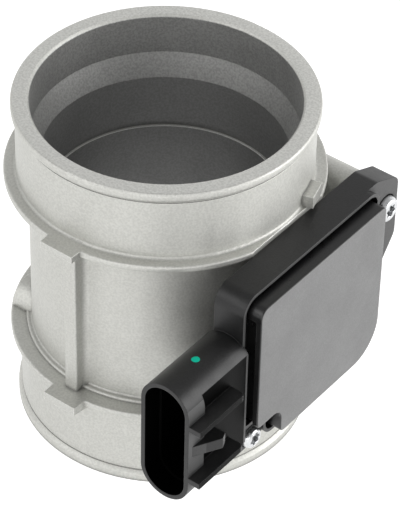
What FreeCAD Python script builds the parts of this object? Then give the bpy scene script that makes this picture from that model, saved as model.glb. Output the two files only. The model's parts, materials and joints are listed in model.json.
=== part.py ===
import FreeCAD, Part
import math
import os
import re
import Sketcher

# Mass airflow sensor: a cast aluminium flow tube with a black plastic electronics module screwed to its side.
# Frame: +Z runs up the tube from the centre of its lower end face, +X points from the tube's axis out
# through the module, and the connector opens towards -Y. Lengths are in millimetres.

doc = FreeCAD.newDocument("MassAirflowSensor")

# Driving sizes. Each one can be changed by itself; everything else is worked out from them.
SIZES = {
    # flow tube
    "tube_height": 112.1,
    "bore_radius": 36.0,
    "mouth_flare": 3.6,
    "mouth_depth": 13.5,
    "cone_length": 7.5,
    "ledge_depth": 39.1,
    "ledge_width": 0.7,
    "barrel_wall": 4.4,
    "collar_wall": 4.3,
    "bead_proud": 1.1,
    "bead_length": 3.5,
    "bead_rounding": 0.9,
    "turned_line_depth": 0.2,
    "turned_line_width": 0.5,
    "mouth_chamfer": 0.7,
    "upper_collar_length": 24.2,
    "lower_collar_length": 27.0,
    "flange_thickness": 2.2,
    "upper_flange_proud": 3.7,
    "lower_flange_proud": 2.9,
    "flange_rounding": 0.6,
    "barrel_step_width": 1.7,
    "barrel_step_height": 0.9,
    "barrel_step_rounding": 0.7,
    "root_rounding": 1.0,
    # tabs, rib and lug of the casting
    "tab_proud": 3.1,
    "tab_side": 0.65,
    "tab_tip_width": 11.5,
    "tab_root_width": 12.1,
    "tab_gusset_depth": 1.3,
    "rib_proud": 4.3,
    "rib_side": 0.2,
    "rib_width": 4.6,
    "rib_fillet": 2.5,
    "rib_edge_rounding": 0.6,
    "rib_root_sink": 0.45,
    "rib_foot_margin": 0.5,
    "lug_angle": 16.5,
    "lug_proud": 3.3,
    "lug_width": 7.7,
    "lug_height": 4.0,
    # bosses of the casting
    "boss_radius": 6.9,
    "bracket_boss_radius": 6.9,
    "bracket_boss_side": 20.0,
    "bracket_boss_setback": 2.4,
    "probe_pad_width": 26.0,
    "probe_pad_rounding": 4.0,
    # module case
    "seat_proud": 4.2,
    "ear_thickness": 8.2,
    "rim_height": 2.2,
    "rim_wall": 1.1,
    "cover_gap": 1.5,
    "floor_thickness": 2.4,
    "ledge_setback": 0.8,
    "ear_reach": 12.9,
    "ear_slope_run": 1.6,
    "ear_slope_drop": 4.6,
    "ear_upright_length": 21.6,
    "ear_clearance": 2.7,
    "ear_rounding": 4.0,
    "lobe_radius": 3.8,
    "lobe_rounding": 3.6,
    "lobe_toe_rounding": 1.0,
    # cover
    "cover_left": 31.6,
    "cover_right": 28.9,
    "cover_bottom": 28.3,
    "cover_top": 83.6,
    "cover_proud": 4.4,
    "cover_plate": 1.8,
    "skirt_wall": 1.6,
    "skirt_inset": 2.5,
    "skirt_post_length": 4.5,
    "cover_corner": 3.0,
    "cover_sharp_corner": 2.0,
    "cover_round_corner": 12.0,
    "cover_edge": 0.5,
    "notch_width": 11.8,
    "notch_height": 9.9,
    "notch_rounding": 2.0,
    "notch_inner_rounding": 4.0,
    "least_rounding": 0.4,
    "seal_thickness": 0.5,
    # screws
    "upper_screw_offset": 9.3,
    "upper_screw_drop": 10.4,
    "lower_screw_offset": 5.4,
    "lower_screw_drop": 0.2,
    "screw_head_radius": 3.3,
    "screw_head_height": 2.3,
    "screw_radius": 1.75,
    "screw_length": 18.0,
    "screw_clearance": 0.25,
    "upper_seat_radius": 4.7,
    "lower_seat_radius": 3.7,
    "spotface_depth": 0.6,
    "drive_radius": 1.9,
    "drive_depth": 1.3,
    # connector shroud
    "shroud_reach": 28.0,
    "shroud_offset": 4.85,
    "shroud_level": 50.9,
    "shroud_half_width": 8.45,
    "shroud_half_height": 21.35,
    "shroud_wall": 2.0,
    "shroud_rim": 1.4,
    "shroud_rim_clearance": 0.5,
    "socket_floor_thickness": 3.8,
    "shroud_collar_length": 7.2,
    "shroud_flat": 1.2,
    "fin_reach": 4.1,
    "fin_thickness": 1.9,
    "fin_spacing": 20.0,
    "fin_length": 20.5,
    "fin_rounding": 1.5,
    "latch_width": 3.7,
    "latch_height": 4.5,
    "latch_start": 1.7,
    "latch_length": 8.3,
    "latch_stop_length": 2.2,
    "latch_stop_height": 3.6,
    # terminals
    "terminal_pitch": 4.8,
    "terminal_width": 2.0,
    "terminal_thickness": 0.8,
    "terminal_tip_setback": 10.5,
    "terminal_foot_length": 4.0,
    "terminal_point": 0.9,
    # electronics
    "heat_plate_thickness": 1.6,
    "board_thickness": 1.6,
    "board_gap": 0.4,
    "board_inset": 2.8,
    "chip_width": 10.0,
    "chip_thickness": 1.4,
    "transistor_width": 10.2,
    "transistor_height": 9.0,
    "transistor_thickness": 2.3,
    "capacitor_length": 2.0,
    "capacitor_width": 1.25,
    "capacitor_thickness": 0.9,
    "capacitor_pitch": 3.4,
    # probe
    "probe_level": 56.0,
    "spigot_radius": 7.85,
    "spigot_clearance": 0.15,
    "spigot_setback": 0.6,
    "seal_ring_width": 2.4,
    "seal_ring_depth": 1.1,
    "probe_tip": 5.0,
    "probe_width": 8.0,
    "probe_height": 12.0,
    "probe_rounding": 2.5,
    "channel_setback": 4.0,
    "channel_length": 12.0,
    "channel_width": 4.4,
    "element_length": 8.0,
    "element_thickness": 0.6,
    "element_height": 2.6,
    "element_spacing": 5.0,
    "bead_sensor_radius": 1.2,
    "lead_radius": 0.35,
    "lead_length": 3.0,
    "lead_spacing": 1.4,
}

sheet = doc.addObject("Spreadsheet::Sheet", "Sizes")
for row, (alias, length) in enumerate(SIZES.items(), start=1):
    sheet.set("A%d" % row, alias.replace("_", " "))
    sheet.set("B%d" % row, str(length))
    sheet.setAlias("B%d" % row, alias)
doc.recompute()

# Places that several pieces share, each written with the driving sizes.
MOUTH_RADIUS = "(bore_radius + mouth_flare)"
BARREL_RADIUS = "(bore_radius + barrel_wall)"
COLLAR_RADIUS = f"({MOUTH_RADIUS} + collar_wall)"
BEAD_RADIUS = f"({COLLAR_RADIUS} + bead_proud)"
UPPER_FLANGE_RADIUS = f"({COLLAR_RADIUS} + upper_flange_proud)"
LOWER_FLANGE_RADIUS = f"({COLLAR_RADIUS} + lower_flange_proud)"
TAB_REACH = f"({UPPER_FLANGE_RADIUS} + tab_proud)"
SEAT_PLANE = f"({BARREL_RADIUS} + seat_proud)"
UPPER_FLANGE_TOP = "(tube_height - upper_collar_length)"
LOWER_FLANGE_TOP = "(lower_collar_length + flange_thickness)"
BARREL_TOP = f"({UPPER_FLANGE_TOP} - flange_thickness)"
EAR_FRONT = f"({SEAT_PLANE} + ear_thickness)"
RIM_FRONT = f"({EAR_FRONT} + rim_height)"
LEDGE_FRONT = f"({EAR_FRONT} - ledge_setback)"
SKIRT_FOOT = f"({LEDGE_FRONT} + seal_thickness)"
COVER_FRONT = f"({RIM_FRONT} + cover_proud)"
CAVITY_FLOOR = f"({SEAT_PLANE} + floor_thickness)"
BOARD_BACK = f"({CAVITY_FLOOR} + heat_plate_thickness)"
BOARD_FRONT = f"({BOARD_BACK} + board_thickness)"
CASE_MARGIN = "(cover_gap + rim_wall)"
CASE_SIDE = f"(cover_left + {CASE_MARGIN})"
CAVITY_SIDE = "(cover_left - skirt_inset - skirt_wall)"
SCREW_SEAT = f"({EAR_FRONT} - spotface_depth)"
SPIGOT_HOLE = "(spigot_radius + spigot_clearance)"
SPIGOT_END = "(bore_radius + spigot_setback)"
SHROUD_CENTRE = f"({SEAT_PLANE} + shroud_offset)"
SHROUD_SIDE = f"({SHROUD_CENTRE} + shroud_half_width)"
SHROUD_MOUTH = f"({CASE_SIDE} + shroud_reach)"
SOCKET_FLOOR = f"({CASE_SIDE} + socket_floor_thickness)"
CHANNEL_START = "(probe_tip + channel_setback)"
CHANNEL_END = f"({CHANNEL_START} + channel_length)"
LOWER_SCREW_SIDE = "(cover_left - lower_screw_offset)"
LOWER_SCREW_LEVEL = "(cover_bottom - lower_screw_drop)"
SCREWS = {
    "Upper": ("(cover_right + upper_screw_offset)", "(cover_top - upper_screw_drop)", "upper_seat_radius"),
    "Lower": (f"-{LOWER_SCREW_SIDE}", LOWER_SCREW_LEVEL, "lower_seat_radius"),
}
TERMINAL_COUNT = 5
CAPACITOR_COUNT = 4
TOUCHING = 1e-3


def formula(text):
    """The text with each size's name pointed at its cell in the sheet."""
    return re.sub(r"[a-z_]+", lambda word: "Sizes." + word[0] if word[0] in SIZES else word[0], text)


def number(text):
    """Value in millimetres of a formula over the sizes."""
    value = reader.evalExpression(formula(text))
    return float(getattr(value, "Value", value))


reader = doc.addObject("App::FeaturePython", "Reader")


# Sketching helpers


def new_body(label):
    body = doc.addObject("PartDesign::Body", label)
    body.Label = label
    return body


def new_sketch(body, name, role, offset=None, turn=None):
    """Sketch on one of the body's own origin planes, moved along the plane's normal and turned about it."""
    sketch = body.newObject("Sketcher::SketchObject", name)
    plane = next(item for item in body.Origin.OriginFeatures if item.Role == role)
    sketch.AttachmentSupport = [(plane, "")]
    sketch.MapMode = "FlatFace"
    if offset:
        sketch.setExpression("AttachmentOffset.Base.z", formula(offset))
    if turn:
        sketch.setExpression("AttachmentOffset.Rotation.Angle", formula(turn))
    return sketch


def hold(sketch, kind, *places, text):
    """One dimension of the sketch, bound to a formula."""
    index = sketch.addConstraint(Sketcher.Constraint(kind, *places, number(text)))
    sketch.setExpression("Constraints[%d]" % index, formula(text))


def draw_outline(sketch, corners):
    """Closed outline of straight runs; each corner is a pair of formulas, its distances from the origin."""
    places = [FreeCAD.Vector(number(across), number(up), 0) for across, up in corners]
    first = sketch.GeometryCount
    count = len(corners)
    for k in range(count):
        sketch.addGeometry(Part.LineSegment(places[k], places[(k + 1) % count]), False)
    for k in range(count):
        sketch.addConstraint(Sketcher.Constraint("Coincident", first + k, 2, first + (k + 1) % count, 1))
    for k, (across, up) in enumerate(corners):
        hold(sketch, "DistanceX", -1, 1, first + k, 1, text=across)
        hold(sketch, "DistanceY", -1, 1, first + k, 1, text=up)


def draw_box(sketch, left, right, bottom, top):
    draw_outline(sketch, [(left, bottom), (right, bottom), (right, top), (left, top)])


def draw_rounded_outline(sketch, corners):
    """Closed outline whose sides run along the sketch's axes; each corner is a place and a radius."""
    places = [FreeCAD.Vector(number(across), number(up), 0) for across, up, _ in corners]
    radii = [number(radius) for _, _, radius in corners]
    first, count = sketch.GeometryCount, len(corners)
    along = [(places[(k + 1) % count] - places[k]).normalize() for k in range(count)]
    for k in range(count):
        after = (k + 1) % count
        start = places[k] + along[k] * radii[k]
        end = places[after] - along[k] * radii[after]
        sketch.addGeometry(Part.LineSegment(start, end), False)
        across, up, _ = corners[k]
        if abs(along[k].y) > abs(along[k].x):
            sketch.addConstraint(Sketcher.Constraint("Vertical", first + k))
            hold(sketch, "DistanceX", -1, 1, first + k, 1, text=across)
        else:
            sketch.addConstraint(Sketcher.Constraint("Horizontal", first + k))
            hold(sketch, "DistanceY", -1, 1, first + k, 1, text=up)
    for k in range(count):
        before = (k - 1) % count
        centre = places[k] - along[before] * radii[k] + along[k] * radii[k]
        outward = (along[before] - along[k]).normalize() * radii[k]
        middle = centre + outward
        start = places[k] - along[before] * radii[k]
        end = places[k] + along[k] * radii[k]
        turns_left = along[before].cross(along[k]).z > 0
        if not turns_left:
            start, end = end, start
        arc = sketch.addGeometry(Part.Arc(start, middle, end), False)
        joins = (1, 2) if turns_left else (2, 1)
        sketch.addConstraint(Sketcher.Constraint("Tangent", first + before, 2, arc, joins[0]))
        sketch.addConstraint(Sketcher.Constraint("Tangent", arc, joins[1], first + k, 1))
        hold(sketch, "Radius", arc, text=corners[k][2])


def draw_circle(sketch, across, up, radius):
    centre = FreeCAD.Vector(number(across), number(up), 0)
    index = sketch.addGeometry(Part.Circle(centre, FreeCAD.Vector(0, 0, 1), number(radius)), False)
    hold(sketch, "DistanceX", -1, 1, index, 3, text=across)
    hold(sketch, "DistanceY", -1, 1, index, 3, text=up)
    hold(sketch, "Radius", index, text=radius)


def draw_stadium(sketch, across, up, half_width, half_height):
    """Upright stadium: two straight sides joined by half circles at the top and the bottom."""
    x, y, r = number(across), number(up), number(half_width)
    rise = number(f"{half_height} - {half_width}")
    axis = FreeCAD.Vector(0, 0, 1)
    top = Part.ArcOfCircle(Part.Circle(FreeCAD.Vector(x, y + rise, 0), axis, r), 0, math.pi)
    bottom = Part.ArcOfCircle(Part.Circle(FreeCAD.Vector(x, y - rise, 0), axis, r), math.pi, math.tau)
    right = Part.LineSegment(FreeCAD.Vector(x + r, y - rise, 0), FreeCAD.Vector(x + r, y + rise, 0))
    left = Part.LineSegment(FreeCAD.Vector(x - r, y + rise, 0), FreeCAD.Vector(x - r, y - rise, 0))
    for curve in (right, top, left, bottom):
        sketch.addGeometry(curve, False)
    for near, near_end, far, far_end in ((0, 2, 1, 1), (1, 2, 2, 1), (2, 2, 3, 1), (3, 2, 0, 1)):
        sketch.addConstraint(Sketcher.Constraint("Tangent", near, near_end, far, far_end))
    sketch.addConstraint(Sketcher.Constraint("Equal", 1, 3))
    hold(sketch, "DistanceX", -1, 1, 1, 3, text=across)
    hold(sketch, "DistanceX", -1, 1, 3, 3, text=across)
    hold(sketch, "DistanceY", -1, 1, 1, 3, text=f"{up} + ({half_height} - {half_width})")
    hold(sketch, "DistanceY", -1, 1, 3, 3, text=f"{up} - ({half_height} - {half_width})")
    hold(sketch, "Radius", 1, text=half_width)


# Solid helpers


def finish_feature(body, feature, adds):
    """Recompute and check that the feature has added or removed material."""
    before = body.Shape.Volume if not body.Shape.isNull() else 0.0
    body.Tip = feature
    doc.recompute()
    change = body.Shape.Volume - before
    if (change > 0) != adds or abs(change) < TOUCHING:
        raise RuntimeError("%s leaves %s as it was" % (feature.Label, body.Label))
    return feature


def extrude(body, sketch, name, length, adds, backwards):
    feature = body.newObject("PartDesign::Pad" if adds else "PartDesign::Pocket", name)
    feature.Profile = sketch
    feature.Reversed = backwards
    feature.setExpression("Length", formula(length))
    return finish_feature(body, feature, adds)


def pad(body, sketch, name, length, backwards=False):
    return extrude(body, sketch, name, length, True, backwards)


def pocket(body, sketch, name, length, backwards=False):
    return extrude(body, sketch, name, length, False, backwards)


def turn_profile(body, sketch, name, adds=True, axis="V_Axis"):
    """Revolve a half section once round one of the sketch's own axes."""
    feature = body.newObject("PartDesign::Revolution" if adds else "PartDesign::Groove", name)
    feature.Profile = sketch
    feature.ReferenceAxis = (sketch, [axis])
    feature.Angle = 360
    return finish_feature(body, feature, adds)


def soften(body, name, edges, radius):
    """Round edges of the body's newest feature."""
    base = body.Tip
    feature = body.newObject("PartDesign::Fillet", name)
    feature.Base = (base, edges)
    feature.setExpression("Radius", formula(radius))
    body.Tip = feature
    doc.recompute()
    if feature.Shape.isNull() or not feature.isValid():
        raise RuntimeError("%s could not be made on %s" % (name, body.Label))
    return feature


def edges_where(body, test):
    return ["Edge%d" % (k + 1) for k, edge in enumerate(body.Shape.Edges) if test(edge)]


def near(value, text):
    return abs(value - number(text)) < TOUCHING


def is_round(edge, radius):
    return isinstance(edge.Curve, Part.Circle) and near(edge.Curve.Radius, radius)


def rings(body, radius, level):
    """Round edges about the tube's axis at a radius and a level."""
    return edges_where(body, lambda edge: is_round(edge, radius) and near(edge.CenterOfMass.z, level))


def straight_edges(body, axis, places):
    """Straight edges along one axis; each place is a pair of formulas in the other two coordinates."""
    others = {"x": ("y", "z"), "y": ("x", "z"), "z": ("x", "y")}[axis]

    def test(edge):
        if not isinstance(edge.Curve, (Part.Line, Part.LineSegment)):
            return False
        if abs(abs(getattr(edge.tangentAt(edge.FirstParameter), axis)) - 1) > TOUCHING:
            return False
        middle = edge.CenterOfMass
        return any(
            near(getattr(middle, others[0]), first) and near(getattr(middle, others[1]), second)
            for first, second in places
        )

    return edges_where(body, test)


def front_edges(body, level):
    """Every edge that lies in one plane square to X."""
    return edges_where(body, lambda edge: near(edge.BoundBox.XMin, level) and near(edge.BoundBox.XMax, level))


# Outlines that more than one piece follows


def cover_corners(grow="0", inset="0"):
    """The cover's outline in y and z, grown outwards: a rectangle with a notch for the lower screw.

    Its left side can be set in by a further length.
    """
    left = f"-(cover_left + {grow} - {inset})"
    notch_side = f"-(cover_left - notch_width + {grow})"
    notch_top = f"cover_bottom + notch_height - {grow}"
    bottom = f"cover_bottom - {grow}"
    right = f"cover_right + {grow}"
    top = f"cover_top + {grow}"

    def rounding(size, sign="+"):
        return f"max({size} {sign} {grow}; least_rounding)"

    return [
        (left, notch_top, rounding("notch_rounding")),
        (notch_side, notch_top, rounding("notch_inner_rounding", "-")),
        (notch_side, bottom, rounding("notch_rounding")),
        (right, bottom, rounding("cover_round_corner")),
        (right, top, rounding("cover_sharp_corner")),
        (left, top, rounding("cover_corner")),
    ]


# Flow tube


def build_flow_body():
    body = new_body("flow_body")

    profile = new_sketch(body, "TubeProfile", "XZ_Plane")
    line_radius = f"{COLLAR_RADIUS} - turned_line_depth"
    step_radius = f"{BARREL_RADIUS} + barrel_step_width"
    step_top = f"{LOWER_FLANGE_TOP} + barrel_step_height"
    bead_end = "bead_length - bead_proud"
    draw_outline(profile, [
        ("0", "0"),
        (BEAD_RADIUS, "0"),
        (BEAD_RADIUS, bead_end),
        (COLLAR_RADIUS, "bead_length"),
        (line_radius, "bead_length"),
        (line_radius, "bead_length + turned_line_width"),
        (COLLAR_RADIUS, "bead_length + turned_line_width"),
        (COLLAR_RADIUS, "lower_collar_length"),
        (LOWER_FLANGE_RADIUS, "lower_collar_length"),
        (LOWER_FLANGE_RADIUS, LOWER_FLANGE_TOP),
        (step_radius, LOWER_FLANGE_TOP),
        (step_radius, step_top),
        (BARREL_RADIUS, step_top),
        (BARREL_RADIUS, BARREL_TOP),
        (UPPER_FLANGE_RADIUS, BARREL_TOP),
        (UPPER_FLANGE_RADIUS, UPPER_FLANGE_TOP),
        (COLLAR_RADIUS, UPPER_FLANGE_TOP),
        (COLLAR_RADIUS, "tube_height - bead_length - turned_line_width"),
        (line_radius, "tube_height - bead_length - turned_line_width"),
        (line_radius, "tube_height - bead_length"),
        (COLLAR_RADIUS, "tube_height - bead_length"),
        (BEAD_RADIUS, f"tube_height - ({bead_end})"),
        (BEAD_RADIUS, "tube_height"),
        ("0", "tube_height"),
    ])
    turn_profile(body, profile, "Tube")

    beads = rings(body, BEAD_RADIUS, bead_end) + rings(body, BEAD_RADIUS, f"tube_height - ({bead_end})")
    beads += rings(body, BEAD_RADIUS, "tube_height")
    soften(body, "BeadRounding", beads, "bead_rounding")
    rims = rings(body, LOWER_FLANGE_RADIUS, LOWER_FLANGE_TOP)
    rims += rings(body, UPPER_FLANGE_RADIUS, UPPER_FLANGE_TOP)
    rims += rings(body, LOWER_FLANGE_RADIUS, "lower_collar_length")
    rims += rings(body, UPPER_FLANGE_RADIUS, BARREL_TOP)
    soften(body, "FlangeRounding", rims, "flange_rounding")
    steps = rings(body, step_radius, step_top) + rings(body, BARREL_RADIUS, step_top)
    soften(body, "BarrelStepRounding", steps, "barrel_step_rounding")
    roots = rings(body, BARREL_RADIUS, BARREL_TOP) + rings(body, COLLAR_RADIUS, UPPER_FLANGE_TOP)
    roots += rings(body, COLLAR_RADIUS, "lower_collar_length")
    soften(body, "RootRounding", roots, "root_rounding")

    # rib between the flanges, on the side that faces -Y, with hollow roundings at its foot
    rib = new_sketch(body, "RibSection", "XY_Plane", LOWER_FLANGE_TOP)
    foot = f"-({BARREL_RADIUS} - rib_root_sink)"
    inside = f"-({BARREL_RADIUS} - rib_width / 2)"
    crest = f"-({BARREL_RADIUS} + rib_proud)"
    left, right = "rib_side - rib_width / 2", "rib_side + rib_width / 2"
    flare = "(rib_fillet + rib_foot_margin)"
    draw_rounded_outline(rib, [
        (f"{left} - {flare}", foot, "least_rounding"),
        (left, foot, "rib_fillet"),
        (left, crest, "rib_edge_rounding"),
        (right, crest, "rib_edge_rounding"),
        (right, foot, "rib_fillet"),
        (f"{right} + {flare}", foot, "least_rounding"),
        (f"{right} + {flare}", inside, "least_rounding"),
        (f"{left} - {flare}", inside, "least_rounding"),
    ])
    pad(body, rib, "Rib", f"{BARREL_TOP} - {LOWER_FLANGE_TOP}")

    # a tab on each flange at the ends of the rib
    for place, top in (("Upper", UPPER_FLANGE_TOP), ("Lower", LOWER_FLANGE_TOP)):
        tab = new_sketch(body, place + "TabOutline", "XY_Plane", f"{top} - flange_thickness")
        draw_outline(tab, [
            ("tab_side - tab_root_width / 2", f"-{COLLAR_RADIUS}"),
            ("tab_side - tab_tip_width / 2", f"-{TAB_REACH}"),
            ("tab_side + tab_tip_width / 2", f"-{TAB_REACH}"),
            ("tab_side + tab_root_width / 2", f"-{COLLAR_RADIUS}"),
        ])
        pad(body, tab, place + "Tab", "flange_thickness")
    gusset = new_sketch(body, "GussetOutline", "YZ_Plane", "tab_side - tab_tip_width / 2")
    draw_outline(gusset, [
        (f"-{TAB_REACH}", "lower_collar_length"),
        (f"-({COLLAR_RADIUS} - rib_width / 2)", "lower_collar_length"),
        (f"-({COLLAR_RADIUS} - rib_width / 2)", "lower_collar_length - 2 * tab_gusset_depth"),
        (f"-{TAB_REACH}", "lower_collar_length - tab_gusset_depth / 2"),
    ])
    pad(body, gusset, "TabGusset", "tab_tip_width")

    # small stop standing on the upper flange beside the module
    lug_foot = f"{UPPER_FLANGE_TOP} - flange_thickness / 2"
    lug = new_sketch(body, "LugOutline", "XY_Plane", lug_foot, "lug_angle")
    draw_box(lug, MOUTH_RADIUS, f"{COLLAR_RADIUS} + lug_proud", "-lug_width / 2", "lug_width / 2")
    pad(body, lug, "Lug", "lug_height + flange_thickness / 2")

    # both flanges are cut flat where the module's back lies
    flat_foot = "(lower_collar_length - root_rounding)"
    flat = new_sketch(body, "FlatOutline", "XY_Plane", flat_foot)
    draw_box(flat, SEAT_PLANE, TAB_REACH, f"-{BARREL_RADIUS}", BARREL_RADIUS)
    pocket(body, flat, "FlangeFlats", f"{UPPER_FLANGE_TOP} - {flat_foot}", backwards=True)

    # bosses for the module's screws and the pad round the probe, all ending at the module's back
    for place, (side, level, _) in SCREWS.items():
        boss = new_sketch(body, place + "BossOutline", "YZ_Plane", "bore_radius / 4")
        draw_circle(boss, side, level, "boss_radius")
        pad(body, boss, place + "Boss", f"{SEAT_PLANE} - bore_radius / 4")
    probe_pad = new_sketch(body, "ProbePadOutline", "YZ_Plane", "bore_radius / 2")
    half = "probe_pad_width / 2"
    draw_box(probe_pad, f"-{half}", half, f"probe_level - {half}", f"probe_level + {half}")
    pad(body, probe_pad, "ProbePad", f"{SEAT_PLANE} - bore_radius / 2")
    levels = (f"probe_level - {half}", f"probe_level + {half}")
    corners = [(side, level) for side in (f"-{half}", half) for level in levels]
    soften(body, "ProbePadRounding", straight_edges(body, "x", corners), "probe_pad_rounding")

    # bracket boss on the lower flange, on the side away from the module
    bracket_reach = f"({BARREL_RADIUS} - bracket_boss_setback)"
    bracket = new_sketch(body, "BracketBossOutline", "YZ_Plane", f"-{bracket_reach}")
    draw_circle(bracket, "-bracket_boss_side", LOWER_FLANGE_TOP, "bracket_boss_radius")
    pad(body, bracket, "BracketBoss", f"{bracket_reach} - bore_radius / 4")

    # the bore: two flared mouths, a smooth throat and the fine ledge below the upper flare
    bore = new_sketch(body, "BoreProfile", "XZ_Plane")
    flare = "mouth_depth + cone_length"
    draw_outline(bore, [
        ("0", "0"),
        (f"{MOUTH_RADIUS} + mouth_chamfer", "0"),
        (MOUTH_RADIUS, "mouth_chamfer"),
        (MOUTH_RADIUS, "mouth_depth"),
        ("bore_radius", flare),
        ("bore_radius", "tube_height - ledge_depth"),
        ("bore_radius + ledge_width", "tube_height - ledge_depth"),
        ("bore_radius + ledge_width", f"tube_height - ({flare})"),
        (MOUTH_RADIUS, "tube_height - mouth_depth"),
        (MOUTH_RADIUS, "tube_height - mouth_chamfer"),
        (f"{MOUTH_RADIUS} + mouth_chamfer", "tube_height"),
        ("0", "tube_height"),
    ])
    turn_profile(body, bore, "Bore", adds=False)

    # the probe's hole through the wall, and the threaded holes of the two screws
    opening = new_sketch(body, "ProbeHoleOutline", "YZ_Plane", SEAT_PLANE)
    draw_circle(opening, "0", "probe_level", SPIGOT_HOLE)
    pocket(body, opening, "ProbeHole", f"{SEAT_PLANE} - bore_radius / 2")
    for place, (side, level, _) in SCREWS.items():
        hole = new_sketch(body, place + "ThreadOutline", "YZ_Plane", SEAT_PLANE)
        draw_circle(hole, side, level, "screw_radius")
        pocket(body, hole, place + "Thread", f"screw_length - ({SCREW_SEAT} - {SEAT_PLANE}) + screw_radius")
    return body


# Module case


def build_module_case():
    body = new_body("module_case")
    bottom = f"cover_bottom - {CASE_MARGIN}"
    top = f"cover_top + {CASE_MARGIN}"
    right = f"cover_right + {CASE_MARGIN}"
    ear_right = f"{right} + ear_reach"
    ear_shoulder = f"{top} - ear_slope_drop"
    ear_foot = f"{ear_shoulder} - ear_upright_length"
    lobe_bottom = f"{LOWER_SCREW_LEVEL} - lobe_radius"
    lobe_right = f"-({LOWER_SCREW_SIDE} - lobe_radius)"

    # back half with both screw ears
    base = new_sketch(body, "BaseOutline", "YZ_Plane", SEAT_PLANE)
    draw_outline(base, [
        (f"-{CASE_SIDE}", lobe_bottom),
        (lobe_right, lobe_bottom),
        (lobe_right, bottom),
        (right, bottom),
        (right, f"{bottom} + cover_round_corner + {CASE_MARGIN} + ear_clearance"),
        (ear_right, ear_foot),
        (ear_right, ear_shoulder),
        (f"{right} + ear_slope_run", top),
        (f"-{CASE_SIDE}", top),
    ])
    pad(body, base, "Base", "ear_thickness")
    upper_left = straight_edges(body, "x", [(f"-{CASE_SIDE}", top)])
    soften(body, "BaseUpperLeft", upper_left, f"cover_corner + {CASE_MARGIN}")
    lower_right = straight_edges(body, "x", [(right, bottom)])
    soften(body, "BaseLowerRight", lower_right, f"cover_round_corner + {CASE_MARGIN}")
    ear = [(ear_right, ear_foot), (ear_right, ear_shoulder), (f"{right} + ear_slope_run", top)]
    soften(body, "EarRounding", straight_edges(body, "x", ear), "ear_rounding")
    soften(body, "LobeRounding", straight_edges(body, "x", [(f"-{CASE_SIDE}", lobe_bottom)]), "lobe_rounding")
    soften(body, "LobeToe", straight_edges(body, "x", [(lobe_right, lobe_bottom)]), "lobe_toe_rounding")

    # raised rim that follows the cover
    rim = new_sketch(body, "RimOutline", "YZ_Plane", EAR_FRONT)
    draw_rounded_outline(rim, cover_corners(CASE_MARGIN))
    pad(body, rim, "Rim", "rim_height")

    # connector shroud: a stadium that runs from its mouth into the side of the case
    shroud = new_sketch(body, "ShroudOutline", "XZ_Plane", f"{CASE_SIDE} - rim_wall / 2")
    draw_stadium(shroud, SHROUD_CENTRE, "shroud_level", "shroud_half_width", "shroud_half_height")
    pad(body, shroud, "Shroud", f"{SHROUD_MOUTH} - ({CASE_SIDE} - rim_wall / 2)")
    relief = new_sketch(body, "ReliefOutline", "XY_Plane", "shroud_level - shroud_half_height")
    draw_box(
        relief,
        f"{SHROUD_SIDE} - shroud_flat",
        f"{SHROUD_SIDE} + shroud_flat",
        f"-({SHROUD_MOUTH} - shroud_collar_length)",
        f"-{CASE_SIDE} + rim_wall",
    )
    pocket(body, relief, "ShroudFlat", "shroud_half_height * 2", backwards=True)

    # guide fins and latch ramp on the shroud's outer side
    for place, sign in (("Upper", "+"), ("Lower", "-")):
        middle = f"shroud_level {sign} fin_spacing / 2"
        fin = new_sketch(body, place + "FinOutline", "XZ_Plane", SHROUD_MOUTH)
        draw_box(
            fin,
            f"{SHROUD_SIDE} - shroud_flat - shroud_wall / 2",
            f"{SHROUD_SIDE} + fin_reach",
            f"{middle} - fin_thickness / 2",
            f"{middle} + fin_thickness / 2",
        )
        pad(body, fin, place + "Fin", "fin_length", backwards=True)
    fin_backs = straight_edges(body, "z", [(f"{SHROUD_SIDE} + fin_reach", f"-({SHROUD_MOUTH} - fin_length)")])
    soften(body, "FinRounding", fin_backs, "fin_rounding")
    ramp = new_sketch(body, "LatchOutline", "XY_Plane", "shroud_level - latch_width / 2")
    ramp_root = f"{SHROUD_SIDE} - shroud_flat - shroud_wall / 2"
    ramp_start = f"-({SHROUD_MOUTH} - latch_start)"
    ramp_end = f"-({SHROUD_MOUTH} - latch_start - latch_length)"
    draw_outline(ramp, [
        (ramp_root, ramp_start),
        (SHROUD_SIDE, ramp_start),
        (f"{SHROUD_SIDE} + latch_height", ramp_end),
        (f"{SHROUD_SIDE} + latch_stop_height", f"{ramp_end} + latch_stop_length"),
        (ramp_root, f"{ramp_end} + latch_stop_length"),
    ])
    pad(body, ramp, "Latch", "latch_width")

    # socket of the connector, a little wider inside its thin rim
    for name, wall, depth in (
        ("SocketEntry", "shroud_rim", "shroud_collar_length - shroud_rim_clearance"),
        ("Socket", "shroud_wall", f"{SHROUD_MOUTH} - {SOCKET_FLOOR}"),
    ):
        socket = new_sketch(body, name + "Outline", "XZ_Plane", SHROUD_MOUTH)
        half_width, half_height = f"(shroud_half_width - {wall})", f"(shroud_half_height - {wall})"
        draw_stadium(socket, SHROUD_CENTRE, "shroud_level", half_width, half_height)
        pocket(body, socket, name, depth)

    # well for the cover's skirt, then the deeper well for the circuit
    gap = new_sketch(body, "SkirtWellOutline", "YZ_Plane", RIM_FRONT)
    draw_rounded_outline(gap, cover_corners("cover_gap"))
    pocket(body, gap, "SkirtWell", "rim_height + ledge_setback")
    cavity = new_sketch(body, "CavityOutline", "YZ_Plane", LEDGE_FRONT)
    draw_rounded_outline(cavity, cover_corners("(-skirt_wall)", "skirt_inset"))
    pocket(body, cavity, "Cavity", f"{LEDGE_FRONT} - {CAVITY_FLOOR}")

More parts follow.
